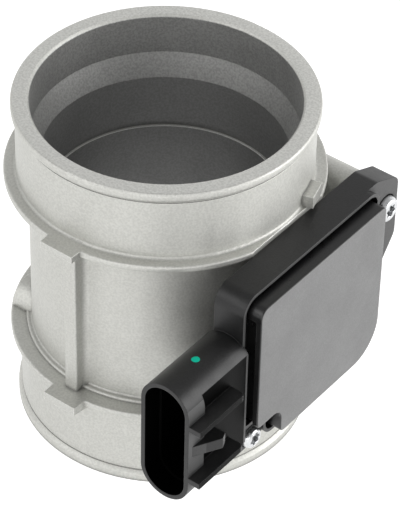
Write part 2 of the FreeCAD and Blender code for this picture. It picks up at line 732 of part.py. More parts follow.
    # seats and clearance holes of the screws
    for place, (side, level, seat_radius) in SCREWS.items():
        seat = new_sketch(body, place + "SeatOutline", "YZ_Plane", RIM_FRONT)
        draw_circle(seat, side, level, seat_radius)
        pocket(body, seat, place + "Seat", "rim_height + spotface_depth")
        hole = new_sketch(body, place + "HoleOutline", "YZ_Plane", EAR_FRONT)
        draw_circle(hole, side, level, "screw_radius + screw_clearance")
        pocket(body, hole, place + "Hole", "ear_thickness")

    # slots for the terminals through the wall between socket and cavity
    slots = new_sketch(body, "SlotOutlines", "XZ_Plane", SOCKET_FLOOR)
    for k in range(TERMINAL_COUNT):
        level = terminal_level(k)
        draw_box(
            slots,
            f"{SHROUD_CENTRE} - terminal_thickness / 2",
            f"{SHROUD_CENTRE} + terminal_thickness / 2",
            f"{level} - terminal_width / 2",
            f"{level} + terminal_width / 2",
        )
    pocket(body, slots, "Slots", f"{SOCKET_FLOOR} - {CAVITY_SIDE}")

    # spigot that carries the probe through the tube's wall, with a groove for its sealing ring
    spigot = new_sketch(body, "SpigotOutline", "YZ_Plane", SEAT_PLANE)
    draw_circle(spigot, "0", "probe_level", "spigot_radius")
    pad(body, spigot, "Spigot", f"{SEAT_PLANE} - {SPIGOT_END}", backwards=True)
    groove = new_sketch(body, "RingGrooveOutline", "XY_Plane", "probe_level")
    ring_middle = f"({SEAT_PLANE} + {SPIGOT_END}) / 2"
    draw_box(
        groove,
        f"{ring_middle} - seal_ring_width / 2",
        f"{ring_middle} + seal_ring_width / 2",
        "spigot_radius - seal_ring_depth",
        "spigot_radius + seal_ring_depth",
    )
    turn_profile(body, groove, "RingGroove", adds=False, axis="H_Axis")
    return body


def terminal_level(k):
    """Height of one terminal's middle; they stand in a row about the shroud's middle."""
    return f"shroud_level + ({k} - ({TERMINAL_COUNT} - 1) / 2) * terminal_pitch"


# Cover and its seal


def build_module_cover():
    body = new_body("module_cover")
    plate = new_sketch(body, "CoverOutline", "YZ_Plane", SKIRT_FOOT)
    draw_rounded_outline(plate, cover_corners())
    pad(body, plate, "Plate", f"{COVER_FRONT} - {SKIRT_FOOT}")
    soften(body, "CoverEdge", front_edges(body, COVER_FRONT), "cover_edge")
    hollow = new_sketch(body, "HollowOutline", "YZ_Plane", SKIRT_FOOT)
    draw_rounded_outline(hollow, cover_corners("(-skirt_wall)", "skirt_inset"))
    pocket(body, hollow, "Hollow", f"{COVER_FRONT} - cover_plate - {SKIRT_FOOT}", backwards=True)

    # the left wall of the skirt is set in behind the plate, below a post in the upper corner
    undercut = new_sketch(body, "UndercutOutline", "YZ_Plane", SKIRT_FOOT)
    draw_box(
        undercut,
        "-(cover_left + skirt_inset)",
        "-(cover_left - skirt_inset)",
        "cover_bottom",
        "cover_top - skirt_post_length",
    )
    pocket(body, undercut, "Undercut", f"{COVER_FRONT} - cover_plate - {SKIRT_FOOT}", backwards=True)
    return body


def build_cover_seal():
    body = new_body("cover_seal")
    ring = new_sketch(body, "SealOutline", "YZ_Plane", LEDGE_FRONT)
    draw_rounded_outline(ring, cover_corners(inset="skirt_inset"))
    draw_rounded_outline(ring, cover_corners("(-skirt_wall)", "skirt_inset"))
    pad(body, ring, "Seal", "seal_thickness")
    return body


# Screws


def build_module_screws():
    """Two pan-head screws in one node: head on the ear, shank in the boss."""
    screws = []
    for place, (side, level, _) in SCREWS.items():
        body = new_body(place + "Screw")
        profile = new_sketch(body, place + "ScrewProfile", "XY_Plane")
        draw_outline(profile, [
            ("-screw_length", "0"),
            ("-screw_length", "screw_radius - screw_clearance"),
            ("-screw_length + screw_clearance", "screw_radius"),
            ("0", "screw_radius"),
            ("0", "screw_head_radius"),
            ("screw_head_height", "screw_head_radius"),
            ("screw_head_height", "0"),
        ])
        turn_profile(body, profile, place + "ScrewSolid", axis="H_Axis")
        soften(body, place + "HeadCrown", front_edges(body, "screw_head_height"), "screw_head_height / 2")
        drive = new_sketch(body, place + "DriveOutline", "YZ_Plane", "screw_head_height")
        draw_circle(drive, "0", "0", "drive_radius")
        pocket(body, drive, place + "Drive", "drive_depth")
        body.setExpression("Placement.Base.x", formula(SCREW_SEAT))
        body.setExpression("Placement.Base.y", formula(side))
        body.setExpression("Placement.Base.z", formula(level))
        screws.append(body)
    doc.recompute()
    pair = doc.addObject("Part::Compound", "module_screws")
    pair.Label = "module_screws"
    pair.Links = screws
    return pair


# Electronics inside the case


def build_plate(label, back, thickness, inset):
    """A flat plate in the circuit's well that follows the well's outline."""
    body = new_body(label)
    outline = new_sketch(body, label.title().replace("_", "") + "Outline", "YZ_Plane", back)
    left = f"-({CAVITY_SIDE} - {inset})"
    corners = cover_corners("(-skirt_wall - board_gap)")
    corners[0] = (left, *corners[0][1:])
    corners[-1] = (left, *corners[-1][1:])
    draw_rounded_outline(outline, corners)
    pad(body, outline, label.title().replace("_", "") + "Solid", thickness)
    return body


def build_box(label, back, thickness, side, level, width, height):
    """A flat rectangular component lying on a plane square to X, given by its middle."""
    box = doc.addObject("Part::Box", label)
    box.Label = label
    for name, text in (("Length", thickness), ("Width", width), ("Height", height)):
        box.setExpression(name, formula(text))
    box.setExpression("Placement.Base.x", formula(back))
    box.setExpression("Placement.Base.y", formula(f"{side} - ({width}) / 2"))
    box.setExpression("Placement.Base.z", formula(f"{level} - ({height}) / 2"))
    return box


def build_capacitors():
    chips = []
    for k in range(CAPACITOR_COUNT):
        side = f"-chip_width + {k} * capacitor_pitch"
        chips.append(build_box(
            "Capacitor%d" % (k + 1),
            BOARD_FRONT,
            "capacitor_thickness",
            side,
            "probe_level + chip_width * 1.5",
            "capacitor_width",
            "capacitor_length",
        ))
    group = doc.addObject("Part::Compound", "chip_capacitors")
    group.Label = "chip_capacitors"
    group.Links = chips
    return group


def build_terminal(k):
    """A flat blade in the socket that steps up inside the case and ends in a foot on the board."""
    body = new_body("terminal_%d" % (k + 1))
    underside = f"{terminal_level(k)} - terminal_width / 2"
    strip = new_sketch(body, "Terminal%dOutline" % (k + 1), "XY_Plane", underside)
    low = f"{SHROUD_CENTRE} - terminal_thickness / 2"
    high = f"{SHROUD_CENTRE} + terminal_thickness / 2"
    tip = f"-({SHROUD_MOUTH} - terminal_tip_setback)"
    step = f"-({CAVITY_SIDE} - board_gap)"
    foot_end = f"-({CAVITY_SIDE} - board_inset - terminal_foot_length)"
    foot_top = f"{BOARD_FRONT} + terminal_thickness"
    draw_outline(strip, [
        (f"{SHROUD_CENTRE} - terminal_thickness / 4", tip),
        (f"{SHROUD_CENTRE} + terminal_thickness / 4", tip),
        (high, f"{tip} + terminal_point"),
        (high, step),
        (foot_top, step),
        (foot_top, foot_end),
        (BOARD_FRONT, foot_end),
        (BOARD_FRONT, f"{step} + terminal_thickness"),
        (low, f"{step} + terminal_thickness"),
        (low, f"{tip} + terminal_point"),
    ])
    pad(body, strip, "Terminal%dBlade" % (k + 1), "terminal_width")
    return body


# Probe in the air stream


def build_spigot_seal():
    """Rubber ring in the spigot's groove, pressed against the hole's wall."""
    body = new_body("spigot_seal")
    ring = new_sketch(body, "RingSection", "XY_Plane")
    middle = f"({SEAT_PLANE} + {SPIGOT_END}) / 2"
    draw_box(
        ring,
        f"{middle} - seal_ring_width / 2",
        f"{middle} + seal_ring_width / 2",
        "spigot_radius - seal_ring_depth",
        SPIGOT_HOLE,
    )
    turn_profile(body, ring, "Ring", axis="H_Axis")
    body.setExpression("Placement.Base.z", formula("probe_level"))
    return body


def build_sensor_probe():
    body = new_body("sensor_probe")
    section = new_sketch(body, "ProbeSection", "YZ_Plane", "probe_tip")
    foot, head = "probe_level - probe_height / 2", "probe_level + probe_height / 2"
    draw_box(section, "-probe_width / 2", "probe_width / 2", foot, head)
    pad(body, section, "ProbeSolid", f"{SPIGOT_END} - probe_tip")
    nose = straight_edges(body, "z", [("probe_tip", "-probe_width / 2"), ("probe_tip", "probe_width / 2")])
    soften(body, "ProbeNose", nose, "probe_rounding")
    channel = new_sketch(body, "ChannelOutline", "XY_Plane", head)
    draw_box(channel, CHANNEL_START, CHANNEL_END, "-channel_width / 2", "channel_width / 2")
    pocket(body, channel, "Channel", "probe_height")
    return body


def build_air_temperature_sensor():
    """A small bead on two stiff leads below the probe."""
    under = "probe_level - probe_height / 2"
    place = f"(({CHANNEL_END}) + {SPIGOT_END}) / 2"
    leads = []
    for k, sign in enumerate(("-", "+")):
        lead = doc.addObject("Part::Cylinder", "SensorLead%d" % (k + 1))
        lead.setExpression("Radius", formula("lead_radius"))
        lead.setExpression("Height", formula("lead_length"))
        lead.setExpression("Placement.Base.x", formula(f"{place} {sign} lead_spacing / 2"))
        lead.setExpression("Placement.Base.z", formula(f"{under} - lead_length"))
        leads.append(lead)
    bead = doc.addObject("Part::Sphere", "SensorBead")
    bead.setExpression("Radius", formula("bead_sensor_radius"))
    bead.setExpression("Placement.Base.x", formula(place))
    bead.setExpression("Placement.Base.z", formula(f"{under} - lead_length"))
    sensor = doc.addObject("Part::MultiFuse", "air_temperature_sensor")
    sensor.Label = "air_temperature_sensor"
    sensor.Shapes = leads + [bead]
    return sensor


# The whole sensor


def build_nodes():
    nodes = [
        build_flow_body(),
        build_module_case(),
        build_module_cover(),
        build_cover_seal(),
        build_module_screws(),
        build_plate("heat_plate", CAVITY_FLOOR, "heat_plate_thickness", "board_inset"),
        build_plate("circuit_board", BOARD_BACK, "board_thickness", "board_inset"),
        build_box(
            "control_chip",
            BOARD_FRONT,
            "chip_thickness",
            "0",
            "probe_level",
            "chip_width",
            "chip_width",
        ),
        build_box(
            "power_transistor",
            BOARD_FRONT,
            "transistor_thickness",
            "cover_right / 2",
            "probe_level - chip_width * 1.5",
            "transistor_width",
            "transistor_height",
        ),
        build_capacitors(),
        build_spigot_seal(),
        build_sensor_probe(),
        build_air_temperature_sensor(),
    ]
    nodes += [build_terminal(k) for k in range(TERMINAL_COUNT)]
    for label, sign in (("hot_film_element", "+"), ("compensation_element", "-")):
        nodes.append(build_box(
            label,
            f"{CHANNEL_END} - element_length",
            "element_length",
            "0",
            f"probe_level {sign} element_spacing / 2",
            "element_thickness",
            "element_height",
        ))
    return nodes


nodes = build_nodes()
doc.recompute()

for item in doc.Objects:
    if "Invalid" in item.State or "Error" in item.State:
        raise RuntimeError("%s failed: %s" % (item.Label, item.State))
for node in nodes:
    if node.Shape.isNull() or not node.Shape.isValid():
        raise RuntimeError("%s has no valid shape" % node.Label)

os.makedirs("parts", exist_ok=True)
for node in nodes:
    node.Shape.exportStep("parts/%s.step" % node.Label)
    print("%-24s %9.1f mm3, %d solid(s)" % (node.Label, node.Shape.Volume, len(node.Shape.Solids)))
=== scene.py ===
# %% [markdown]
# Dressing a mass airflow sensor
#
# The sensor is a cast aluminium tube that sits in an engine's air intake, with a black plastic electronics
# module screwed to its side. The CAD model already holds every solid in its right place. This script keeps
# those solids and gives them their real surfaces: sand-textured casting, turned end beads, glass-filled
# black moulding, a satin cover and bright zinc screws. Small parts that CAD leaves plain, such as the screw
# drives, are modelled here.

import json
import math

import bmesh
import bpy
from mathutils import Matrix, Quaternion, Vector


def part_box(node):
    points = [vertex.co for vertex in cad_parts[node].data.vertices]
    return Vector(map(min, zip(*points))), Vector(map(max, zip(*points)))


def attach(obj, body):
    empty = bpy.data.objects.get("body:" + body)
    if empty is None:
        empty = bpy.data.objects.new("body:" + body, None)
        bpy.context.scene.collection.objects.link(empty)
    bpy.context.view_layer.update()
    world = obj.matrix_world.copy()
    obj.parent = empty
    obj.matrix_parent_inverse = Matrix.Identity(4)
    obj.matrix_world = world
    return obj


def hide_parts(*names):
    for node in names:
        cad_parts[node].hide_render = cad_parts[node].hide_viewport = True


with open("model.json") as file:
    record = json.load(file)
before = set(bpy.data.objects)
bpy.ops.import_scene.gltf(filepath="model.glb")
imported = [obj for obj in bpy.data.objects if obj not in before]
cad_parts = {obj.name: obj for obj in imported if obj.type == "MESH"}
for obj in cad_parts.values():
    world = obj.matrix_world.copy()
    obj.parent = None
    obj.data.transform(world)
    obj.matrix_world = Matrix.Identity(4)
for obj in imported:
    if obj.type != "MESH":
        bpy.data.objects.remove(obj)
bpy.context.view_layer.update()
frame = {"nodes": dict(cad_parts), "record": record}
nodes = frame["nodes"]
MM = 0.001
print("CAD nodes:", len(nodes))

# %% [markdown]
# Smooth curved faces
#
# A CAD node arrives as loose flat triangles, so a turned wall would show its facets. The mesh itself stays
# as it is: a small geometry node tree in a modifier joins the triangles and shades them smooth, except
# across edges that are sharper than a given angle, and that gives clean curved walls with crisp corners.
# The mesh itself has to stay as it is.

# %% Shading modifier
SHARP_ANGLE = math.radians(20)
JOIN_DISTANCE = 0.002 * MM


def build_smoother():
    """Geometry nodes that join the triangles and keep only sharp edges flat."""
    tree = bpy.data.node_groups.new("smooth_walls", "GeometryNodeTree")
    tree.interface.new_socket("Geometry", in_out="INPUT", socket_type="NodeSocketGeometry")
    tree.interface.new_socket("Geometry", in_out="OUTPUT", socket_type="NodeSocketGeometry")
    make, join = tree.nodes.new, tree.links.new
    start, end = make("NodeGroupInput"), make("NodeGroupOutput")
    merge = make("GeometryNodeMergeByDistance")
    merge.inputs["Distance"].default_value = JOIN_DISTANCE
    forget = make("GeometryNodeRemoveAttribute")
    forget.inputs["Name"].default_value = "custom_normal"
    faces = make("GeometryNodeSetShadeSmooth")
    edges = make("GeometryNodeSetShadeSmooth")
    edges.domain = "EDGE"
    edges.inputs["Shade Smooth"].default_value = False
    angle = make("GeometryNodeInputMeshEdgeAngle")
    sharp = make("FunctionNodeCompare")
    sharp.inputs[1].default_value = SHARP_ANGLE
    join(start.outputs[0], forget.inputs["Geometry"])
    join(forget.outputs["Geometry"], merge.inputs["Geometry"])
    join(merge.outputs["Geometry"], faces.inputs["Geometry"])
    join(faces.outputs["Geometry"], edges.inputs["Geometry"])
    join(angle.outputs["Unsigned Angle"], sharp.inputs[0])
    join(sharp.outputs["Result"], edges.inputs["Selection"])
    join(edges.outputs["Geometry"], end.inputs[0])
    return tree


smoother = build_smoother()
for node in nodes.values():
    node.modifiers.new("smooth walls", "NODES").node_group = smoother
print("Smoothed nodes:", len(nodes))

# %% [markdown]
# Shared surface effects
#
# Several materials need the same effects, so each one is a shader node group with named inputs. They read
# Object coordinates, which stay with the piece from every side.
#
# - Fine grain is the sandy skin of a casting or the spark texture of a mould: a fine noise with a share of
#   a coarser one, so that the skin isn't the same everywhere.
# - Soft edges blends the normals across an edge, as a cast or moulded edge is never perfectly sharp. It
#   puts out a mask of the outer edges, for a painted highlight, a lighter line along them, and one of the
#   inner corners and narrow gaps, for painted shade where little light comes in. How much of the sky a
#   point sees tells the two apart.
# - Turned rings are the marks of a lathe tool: noise that depends only on the distance from the tube's axis
#   and on the height, so that it forms rings on walls and end faces alike.
# - Outward faces is a mask of the faces that look out along +X. A moulding tool is sparked only on its
#   large front faces and polished on the walls that slide out of it, so the front of a cover is duller than
#   its sides; the front is also painted paler, a painted sheen. The connector's ribs and the pocket between
#   them are dull and painted dark instead, painted shade, so they have a mask of their own.
# - Inside socket is a mask of the connector's deep socket, where the moulding's skin is dull and painted
#   shade makes it black, as little light gets in. It is the space within a distance of the line along the
#   socket's middle.

# %% Node helpers
def add(tree, kind, sockets=None, **settings):
    """One node with its settings; a socket is given a value, or another node's output to link."""
    node = tree.nodes.new(kind)
    for name, value in settings.items():
        setattr(node, name, value)
    for name, value in (sockets or {}).items():
        if isinstance(value, bpy.types.NodeSocket):
            tree.links.new(value, node.inputs[name])
        else:
            node.inputs[name].default_value = value
    return node


def math_node(tree, operation, *values, clamp=False):
    node = add(tree, "ShaderNodeMath", dict(enumerate(values)), operation=operation, use_clamp=clamp)
    return node.outputs[0]


def ramp(tree, value, low, high, start=0.0, end=1.0):
    """Value mapped from one range to another, clamped at both ends."""
    sockets = {"Value": value, "From Min": low, "From Max": high, "To Min": start, "To Max": end}
    return add(tree, "ShaderNodeMapRange", sockets).outputs[0]


def blend_value(tree, share, first, second):
    node = add(tree, "ShaderNodeMix", {0: share, 2: first, 3: second}, data_type="FLOAT")
    return node.outputs[0]


def blend_colour(tree, share, first, second):
    node = add(tree, "ShaderNodeMix", {0: share, 6: first, 7: second}, data_type="RGBA")
    return node.outputs[2]


def noise(tree, place, scale, detail):
    node = add(tree, "ShaderNodeTexNoise", {"Vector": place, "Scale": scale, "Detail": detail})
    return node.outputs["Fac"]


def new_group(name, inputs, outputs):
    """Empty shader group with float or vector sockets; returns it with its input and output nodes."""
    tree = bpy.data.node_groups.new(name, "ShaderNodeTree")
    for label, kind, value in inputs:
        socket = tree.interface.new_socket(label, in_out="INPUT", socket_type="NodeSocket" + kind)
        if value is not None:
            socket.default_value = value
    for label, kind in outputs:
        tree.interface.new_socket(label, in_out="OUTPUT", socket_type="NodeSocket" + kind)
    return tree, tree.nodes.new("NodeGroupInput").outputs, tree.nodes.new("NodeGroupOutput").inputs


# %% Fine grain
FINE_DETAIL, COARSE_DETAIL = 1.0, 3.0
grain_group, given, result = new_group(
    "fine_grain",
    [
        ("Place", "Vector", None),
        ("Fine Scale", "Float", 2500.0),
        ("Coarse Scale", "Float", 300.0),
        ("Coarse Share", "Float", 0.3),
    ],
    [("Height", "Float"), ("Tone", "Float")],
)
fine = noise(grain_group, given["Place"], given["Fine Scale"], FINE_DETAIL)
coarse = noise(grain_group, given["Place"], given["Coarse Scale"], COARSE_DETAIL)
grain_group.links.new(blend_value(grain_group, given["Coarse Share"], fine, coarse), result["Height"])
grain_group.links.new(coarse, result["Tone"])

# %% Soft edges
# The share of the sky that a point sees, where the outer edges fade in and where the inner corners do
OUTER_SKY = (0.75, 0.9)
CREASE_SKY = (0.92, 0.5)
edge_group, given, result = new_group(
    "soft_edges",
    [("Radius", "Float", 0.4 * MM), ("Gain", "Float", 3.0), ("Reach", "Float", 1.5 * MM)],
    [("Normal", "Vector"), ("Edge", "Float"), ("Crease", "Float")],
)
rounded = add(edge_group, "ShaderNodeBevel", {"Radius": given["Radius"]}, samples=6)
flat = add(edge_group, "ShaderNodeNewGeometry")
agreement = add(
    edge_group,
    "ShaderNodeVectorMath",
    {0: rounded.outputs[0], 1: flat.outputs["Normal"]},
    operation="DOT_PRODUCT",
)
turned_away = math_node(edge_group, "SUBTRACT", 1.0, agreement.outputs["Value"])
turned_away = math_node(edge_group, "MULTIPLY", turned_away, given["Gain"], clamp=True)
sky = add(edge_group, "ShaderNodeAmbientOcclusion", {"Distance": given["Reach"]}, samples=8)
open_sky = sky.outputs["AO"]
outer = ramp(edge_group, open_sky, *OUTER_SKY)
edge_group.links.new(rounded.outputs[0], result["Normal"])
edge_group.links.new(math_node(edge_group, "MULTIPLY", turned_away, outer), result["Edge"])
edge_group.links.new(ramp(edge_group, open_sky, *CREASE_SKY), result["Crease"])

# %% Turned rings
RING_DETAIL = 2.0
ring_group, given, result = new_group(
    "turned_rings",
    [("Place", "Vector", None), ("Scale", "Float", 2600.0)],
    [("Height", "Float"), ("Radius", "Float"), ("Level", "Float")],
)
parts = add(ring_group, "ShaderNodeSeparateXYZ", {0: given["Place"]})
across = add(ring_group, "ShaderNodeCombineXYZ", {0: parts.outputs[0], 1: parts.outputs[1]})
radius = add(ring_group, "ShaderNodeVectorMath", {0: across.outputs[0]}, operation="LENGTH")
profile = add(ring_group, "ShaderNodeCombineXYZ", {0: radius.outputs["Value"], 2: parts.outputs[2]})
marks = noise(ring_group, profile.outputs[0], given["Scale"], RING_DETAIL)
ring_group.links.new(marks, result["Height"])
ring_group.links.new(radius.outputs["Value"], result["Radius"])
ring_group.links.new(parts.outputs[2], result["Level"])

# %% Outward faces
# The connector stands beyond MODULE_SIDE. There a face is a front only between the level Pocket and RIB_START, and
# the rest belongs to the pocket.
MODULE_SIDE = -34.5 * MM
RIB_START = 60 * MM
POCKET_FACING = (0.96, 0.99)
front_group, given, result = new_group(
    "outward_faces",
    [("Start", "Float", 0.75), ("Full", "Float", 0.97), ("From", "Float", 51 * MM), ("Pocket", "Float", 57.3 * MM)],
    [("Mask", "Float"), ("Pocket", "Float")],
)
surface = add(front_group, "ShaderNodeTexCoord")
facing = add(front_group, "ShaderNodeSeparateXYZ", {0: surface.outputs["Normal"]}).outputs[0]
place = add(front_group, "ShaderNodeSeparateXYZ", {0: surface.outputs["Object"]}).outputs
beside = math_node(front_group, "LESS_THAN", place[1], MODULE_SIDE)
start = blend_value(front_group, beside, given["From"], given["Pocket"])
on_rib = math_node(front_group, "MULTIPLY", beside, math_node(front_group, "GREATER_THAN", place[0], RIB_START))
outside = math_node(front_group, "GREATER_THAN", place[0], start)
outside = math_node(front_group, "MULTIPLY", outside, math_node(front_group, "SUBTRACT", 1.0, on_rib))
turned_out = ramp(front_group, facing, given["Start"], given["Full"])
in_pocket = math_node(front_group, "MULTIPLY", beside, math_node(front_group, "SUBTRACT", 1.0, outside))
flat_out = ramp(front_group, facing, *POCKET_FACING)
front_group.links.new(math_node(front_group, "MULTIPLY", turned_out, outside), result["Mask"])
front_group.links.new(math_node(front_group, "MULTIPLY", flat_out, in_pocket), result["Pocket"])

# %% Socket mask
SHROUD_CENTRE = 49.45 * MM
SHROUD_LEVEL = 50.9 * MM
SHROUD_RISE = 12.9 * MM
SOCKET_RADIUS = 7.3 * MM
SOCKET_MOUTH, SOCKET_FLOOR = -62.1 * MM, -37.9 * MM
socket_group, given, result = new_group("inside_socket", [("Place", "Vector", None)], [("Mask", "Float")])
parts = add(socket_group, "ShaderNodeSeparateXYZ", {0: given["Place"]}).outputs
side = math_node(socket_group, "SUBTRACT", parts[0], SHROUD_CENTRE)
height = math_node(socket_group, "ABSOLUTE", math_node(socket_group, "SUBTRACT", parts[2], SHROUD_LEVEL))
past_straight = math_node(socket_group, "MAXIMUM", math_node(socket_group, "SUBTRACT", height, SHROUD_RISE), 0.0)
offset = add(socket_group, "ShaderNodeCombineXYZ", {0: side, 1: past_straight}).outputs[0]
distance = add(socket_group, "ShaderNodeVectorMath", {0: offset}, operation="LENGTH").outputs["Value"]
mask = math_node(socket_group, "LESS_THAN", distance, SOCKET_RADIUS)
mask = math_node(socket_group, "MULTIPLY", mask, math_node(socket_group, "GREATER_THAN", parts[1], SOCKET_MOUTH))
mask = math_node(socket_group, "MULTIPLY", mask, math_node(socket_group, "LESS_THAN", parts[1], SOCKET_FLOOR))
socket_group.links.new(mask, result["Mask"])
print("Effect groups:", [group.name for group in (grain_group, edge_group, ring_group, front_group, socket_group)])

# %% [markdown]
# The casting
#
# The tube is an aluminium casting that has been shot-blasted to an even, light warm grey with a fine
# sparkle. Its two end beads and the bore are turned, so they are smoother. The bore is painted darker as
# painted shade, and darker still below the throat. Outer edges get a painted highlight and creases painted
# shade. One material covers all of it: the distance from the axis tells the bore from the outside, and the
# height tells the beads from the cast wall between them.

# %% Cast aluminium
tube_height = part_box("flow_body")[1].z
BEAD_LENGTH = 4.0 * MM
MOUTH_RADIUS = 39.65 * MM
THROAT_LEVEL = 91.1 * MM
LEDGE_LEVEL = 73.0 * MM
LEDGE_LINE = 0.05 * MM
LIP_DEPTH = 0.05 * MM
WALL_BLUR, BLUR = 0.05 * MM, 0.1 * MM

# Two close tones for each zone, which the grain mixes
CAST_TONES = (0.555, 0.555, 0.525, 1), (0.63, 0.63, 0.597, 1)
# Painted shade: the bore's tones are darker than the cast wall, and darker still below the throat
THROAT_SHADE_TONES = (0.26, 0.26, 0.255, 1), (0.31, 0.31, 0.305, 1)
MOUTH_SHADE_TONES = (0.315, 0.315, 0.307, 1), (0.40, 0.40, 0.39, 1)
LIP_TONES = (0.64, 0.64, 0.61, 1), (0.76, 0.76, 0.73, 1)
# Painted highlight: outer edges and the ledge's edge are lightened towards this tone, in patches
EDGE_HIGHLIGHT_TONE, HIGHLIGHT_PATCHES = (0.95, 0.95, 0.92, 1), (0.4, 0.6, 0.6, 1.2)
# Painted shade: creases and narrow gaps are darkened towards this tone
PAINTED_CREASE_TONE, PAINTED_CREASE_SHARE = (0.14, 0.14, 0.13, 1), 0.7
CAST_GRAIN = (0.36, 0.64)
CAST_ROUGHNESS = (0.50, 0.58)
CAST_DEPTH = 0.05 * MM
RING_SHARE = 0.35
TONE_RANGE = (0.3, 0.7)


def start_material(name, **sockets):
    """New material with its Principled shader's constant sockets set."""
    material = bpy.data.materials.new(name)
    material.use_nodes = True
    shader = material.node_tree.nodes["Principled BSDF"]
    for label, value in sockets.items():
        shader.inputs[label.replace("_", " ")].default_value = value
    return material, material.node_tree, shader


def finish_material(tree, shader, colour, roughness, height, normal, depth):
    """Link the changing sockets: colour, roughness, and a bump of the given depth over the softened normals."""
    bump = add(tree, "ShaderNodeBump", {"Height": height, "Normal": normal, "Distance": depth, "Strength": 1.0})
    for label, value in (("Base Color", colour), ("Roughness", roughness), ("Normal", bump.outputs[0])):
        tree.links.new(value, shader.inputs[label])


def group_node(tree, group, **sockets):
    labelled = {label.replace("_", " "): value for label, value in sockets.items()}
    return add(tree, "ShaderNodeGroup", labelled, node_tree=group).outputs


def build_casting():
    material, tree, shader = start_material("cast_aluminium", Metallic=0.78)
    place = add(tree, "ShaderNodeTexCoord").outputs["Object"]
    grain = group_node(
        tree, grain_group, Place=place, Fine_Scale=1500.0, Coarse_Scale=120.0, Coarse_Share=0.06
    )
    edges = group_node(tree, edge_group, Radius=0.4 * MM, Gain=3.0, Reach=1.6 * MM)
    rings = group_node(tree, ring_group, Place=place, Scale=1800.0)
    level = rings["Level"]

    # zones: the bore, the turned beads, the mouth above the throat, the lip's face and the ledge's edge
    inside = ramp(tree, rings["Radius"], MOUTH_RADIUS + WALL_BLUR, MOUTH_RADIUS)
    high = ramp(tree, level, tube_height - BEAD_LENGTH - BLUR, tube_height - BEAD_LENGTH)
    low = ramp(tree, level, BEAD_LENGTH + BLUR, BEAD_LENGTH)
    turned = math_node(tree, "MAXIMUM", math_node(tree, "MAXIMUM", high, low), inside)
    in_mouth = ramp(tree, level, THROAT_LEVEL - BLUR, THROAT_LEVEL + BLUR)
    on_lip = math_node(tree, "GREATER_THAN", level, tube_height - LIP_DEPTH)
    # painted highlight: a thin bright line along the ledge's edge in the bore
    below_ledge = ramp(tree, level, LEDGE_LEVEL + LEDGE_LINE + BLUR, LEDGE_LEVEL + LEDGE_LINE)
    above_ledge = ramp(tree, level, LEDGE_LEVEL - LEDGE_LINE - BLUR, LEDGE_LEVEL - LEDGE_LINE)
    on_ledge = math_node(tree, "MULTIPLY", below_ledge, above_ledge)
    on_ledge = math_node(tree, "MULTIPLY", on_ledge, inside)

    # colour: the zones' tones, the bore's darker as painted shade, then painted highlights on the outer
    # edges and the ledge's edge, then painted shade in the creases
    mottled = ramp(tree, grain["Height"], *CAST_GRAIN)
    cast = blend_colour(tree, mottled, *CAST_TONES)
    cast = blend_colour(tree, on_lip, cast, blend_colour(tree, mottled, *LIP_TONES))
    throat = blend_colour(tree, mottled, *THROAT_SHADE_TONES)
    bore = blend_colour(tree, in_mouth, throat, blend_colour(tree, mottled, *MOUTH_SHADE_TONES))
    colour = blend_colour(tree, inside, cast, bore)
    painted_highlight = math_node(tree, "MULTIPLY", edges["Edge"], ramp(tree, grain["Height"], *HIGHLIGHT_PATCHES))
    painted_highlight = math_node(tree, "MAXIMUM", painted_highlight, on_ledge)
    colour = blend_colour(tree, painted_highlight, colour, EDGE_HIGHLIGHT_TONE)
    colour = blend_colour(tree, math_node(tree, "MULTIPLY", edges["Crease"], PAINTED_CREASE_SHARE), colour, PAINTED_CREASE_TONE)

    roughness = ramp(tree, grain["Tone"], *TONE_RANGE, *CAST_ROUGHNESS)
    ring_share = math_node(tree, "MULTIPLY", turned, RING_SHARE)
    height = blend_colour(tree, ring_share, grain["Height"], rings["Height"])
    finish_material(tree, shader, colour, roughness, height, edges["Normal"], CAST_DEPTH)
    return material


casting = build_casting()
print("Casting finish:", casting.name)

# %% [markdown]
# Plastics, metals and the rest
#
# The other finishes are simpler, so one function makes them all: a colour that varies a little, a roughness
# range, a grain size with its depth, a painted highlight that makes the outer edges a shade lighter, and
# painted shade that makes the creases darker.

# %% Other finishes
GRAIN_RANGE = (0.35, 0.65)
COARSE_RATIO = 0.12
FRONT_GRAIN = (0.91, 1.09)
CLOUD_SCALE, CLOUD_DETAIL, CLOUD_TONES = 70.0, 2.0, (0.93, 1.05)
# How far outer edges move towards the painted highlight colour, and creases towards painted shade
EDGE_SHARE = 0.5
CREASE_SHADE = 0.2
# Painted shade: the socket and the pocket between the ribs are black and dull
HOLLOW_SHADE_COLOUR, HOLLOW_ROUGHNESS = (0.003, 0.003, 0.003, 1), 0.6


